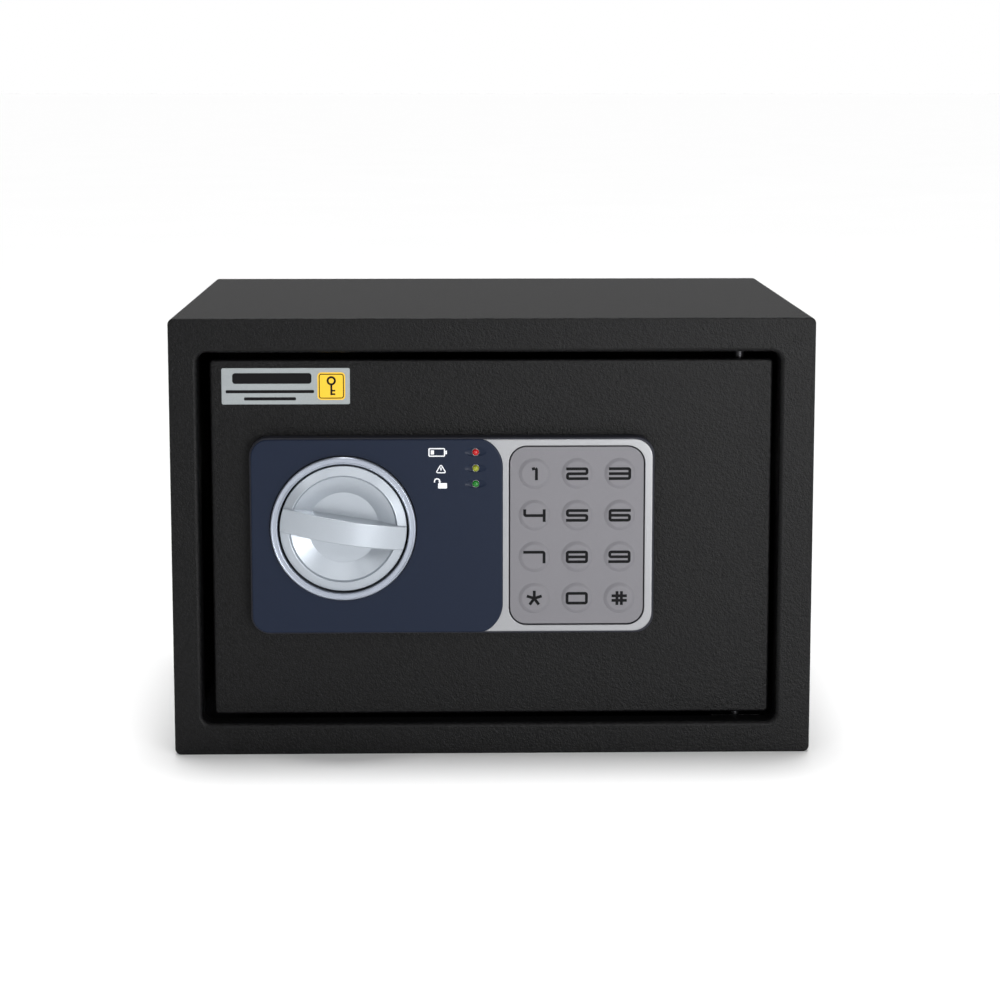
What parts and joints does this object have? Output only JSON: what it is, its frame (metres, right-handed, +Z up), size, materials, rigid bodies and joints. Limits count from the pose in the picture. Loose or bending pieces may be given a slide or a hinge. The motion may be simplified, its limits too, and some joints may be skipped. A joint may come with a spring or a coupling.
{
  "type": "in-room safe",
  "caption": "Electronic in-room safe with a recessed hinged door, turning knob, keypad, indicator lamps, sliding bolts and a battery-powered lock.",
  "frame": {"origin": "centre of the base's underside, where it rests on a shelf", "axes": "+X to the right as seen from the front, +Y towards the back, +Z up; the door faces -Y"},
  "size_m": [0.31, 0.2323, 0.214],
  "materials": {
    "powder_coat": "matte black powder coat with a fine texture",
    "felt": "dark felt",
    "steel": "bright zinc-plated steel",
    "zinc": "zinc-plated sheet steel",
    "brass": "turned brass",
    "silver_plastic": "silver-painted moulded plastic",
    "blue_plastic": "dark blue satin film",
    "knob_plastic": "silver-painted satin plastic",
    "keypad_film": "warm grey embossed film",
    "label_film": "silver-grey film",
    "led_red": "clear red lens",
    "led_yellow": "clear yellow lens",
    "led_green": "clear green lens",
    "board": "green circuit board",
    "ribbon": "grey ribbon cable",
    "copper": "varnished copper winding",
    "case_plastic": "black moulded plastic",
    "cell_sleeve": "printed battery sleeve",
    "red_plastic": "red moulded plastic"
  },
  "bodies": {
    "root": {"body_wrap": "powder_coat", "front_frame": "powder_coat", "back_panel": "powder_coat", "floor_mat": "felt", "hinge_bracket_upper": "powder_coat", "hinge_bracket_lower": "powder_coat", "hinge_pin_upper": "steel", "hinge_pin_lower": "steel"},
    "door": {"door_plate": "powder_coat", "hinge_leaf_upper": "powder_coat", "hinge_leaf_lower": "powder_coat", "label": "label_film", "panel_housing": "silver_plastic", "faceplate": "blue_plastic", "knob_bezel": "silver_plastic", "led_red": "led_red", "led_yellow": "led_yellow", "led_green": "led_green", "keypad_mat": "keypad_film", "keypad_board": "board", "ribbon_cable": "ribbon", "circuit_board": "board", "bolt_guide_upper": "zinc", "bolt_guide_lower": "zinc", "solenoid_frame": "steel", "solenoid_coil": "copper", "override_cylinder": "brass", "battery_box": "case_plastic", "battery_1": "cell_sleeve", "battery_2": "cell_sleeve", "battery_3": "cell_sleeve", "battery_4": "cell_sleeve", "lock_case": "case_plastic", "cover_screw_1": "steel", "cover_screw_2": "steel", "cover_screw_3": "steel", "cover_screw_4": "steel"},
    "knob": {"knob": "knob_plastic", "spindle": "steel", "crank": "zinc"},
    "boltwork": {"bolt_carrier": "zinc", "bolt_upper": "steel", "bolt_lower": "steel"},
    "plunger": {"plunger": "steel"},
    "override_plug": {"override_plug": "brass"},
    "battery_cover": {"battery_cover": "case_plastic"},
    "reset_button": {"reset_button": "red_plastic"},
    "key_1": {"key_1": "keypad_film"},
    "key_2": {"key_2": "keypad_film"},
    "key_3": {"key_3": "keypad_film"},
    "key_4": {"key_4": "keypad_film"},
    "key_5": {"key_5": "keypad_film"},
    "key_6": {"key_6": "keypad_film"},
    "key_7": {"key_7": "keypad_film"},
    "key_8": {"key_8": "keypad_film"},
    "key_9": {"key_9": "keypad_film"},
    "key_star": {"key_star": "keypad_film"},
    "key_0": {"key_0": "keypad_film"},
    "key_hash": {"key_hash": "keypad_film"}
  },
  "joints": [
    {"name": "door_hinge", "type": "hinge", "parent": "root", "child": "door", "pos_m": [0.12, -0.094, 0.1], "axis": [0, 0, 1], "range_deg": [0, 110]},
    {"name": "knob_turn", "type": "hinge", "parent": "door", "child": "knob", "pos_m": [-0.072, -0.11, 0.1124], "axis": [0, -1, 0], "range_deg": [0, 80]},
    {"name": "bolt_slide", "type": "slide", "parent": "door", "child": "boltwork", "axis": [-1, 0, 0], "range_m": [0, 0.01592]},
    {"name": "plunger_slide", "type": "slide", "parent": "door", "child": "plunger", "axis": [0, 0, -1], "range_m": [0, 0.004], "stiffness_N_per_m": 300},
    {"name": "override_turn", "type": "hinge", "parent": "door", "child": "override_plug", "pos_m": [-0.02, -0.1, 0.082], "axis": [0, -1, 0], "range_deg": [0, 90]},
    {"name": "battery_cover_slide", "type": "slide", "parent": "door", "child": "battery_cover", "axis": [-1, 0, 0], "range_m": [0, 0.066]},
    {"name": "reset_press", "type": "slide", "parent": "door", "child": "reset_button", "axis": [0, -1, 0], "range_m": [0, 0.002], "stiffness_N_per_m": 500},
    {"name": "key_1_press", "type": "slide", "parent": "door", "child": "key_1", "axis": [0, 1, 0], "range_m": [0, 0.0008], "stiffness_N_per_m": 900},
    {"name": "key_2_press", "type": "slide", "parent": "door", "child": "key_2", "axis": [0, 1, 0], "range_m": [0, 0.0008], "stiffness_N_per_m": 900},
    {"name": "key_3_press", "type": "slide", "parent": "door", "child": "key_3", "axis": [0, 1, 0], "range_m": [0, 0.0008], "stiffness_N_per_m": 900},
    {"name": "key_4_press", "type": "slide", "parent": "door", "child": "key_4", "axis": [0, 1, 0], "range_m": [0, 0.0008], "stiffness_N_per_m": 900},
    {"name": "key_5_press", "type": "slide", "parent": "door", "child": "key_5", "axis": [0, 1, 0], "range_m": [0, 0.0008], "stiffness_N_per_m": 900},
    {"name": "key_6_press", "type": "slide", "parent": "door", "child": "key_6", "axis": [0, 1, 0], "range_m": [0, 0.0008], "stiffness_N_per_m": 900},
    {"name": "key_7_press", "type": "slide", "parent": "door", "child": "key_7", "axis": [0, 1, 0], "range_m": [0, 0.0008], "stiffness_N_per_m": 900},
    {"name": "key_8_press", "type": "slide", "parent": "door", "child": "key_8", "axis": [0, 1, 0], "range_m": [0, 0.0008], "stiffness_N_per_m": 900},
    {"name": "key_9_press", "type": "slide", "parent": "door", "child": "key_9", "axis": [0, 1, 0], "range_m": [0, 0.0008], "stiffness_N_per_m": 900},
    {"name": "key_star_press", "type": "slide", "parent": "door", "child": "key_star", "axis": [0, 1, 0], "range_m": [0, 0.0008], "stiffness_N_per_m": 900},
    {"name": "key_0_press", "type": "slide", "parent": "door", "child": "key_0", "axis": [0, 1, 0], "range_m": [0, 0.0008], "stiffness_N_per_m": 900},
    {"name": "key_hash_press", "type": "slide", "parent": "door", "child": "key_hash", "axis": [0, 1, 0], "range_m": [0, 0.0008], "stiffness_N_per_m": 900}
  ],
  "couplings": [
    {"joint": "bolt_slide", "follows": "knob_turn", "m_per_rad": 0.0114}
  ]
}
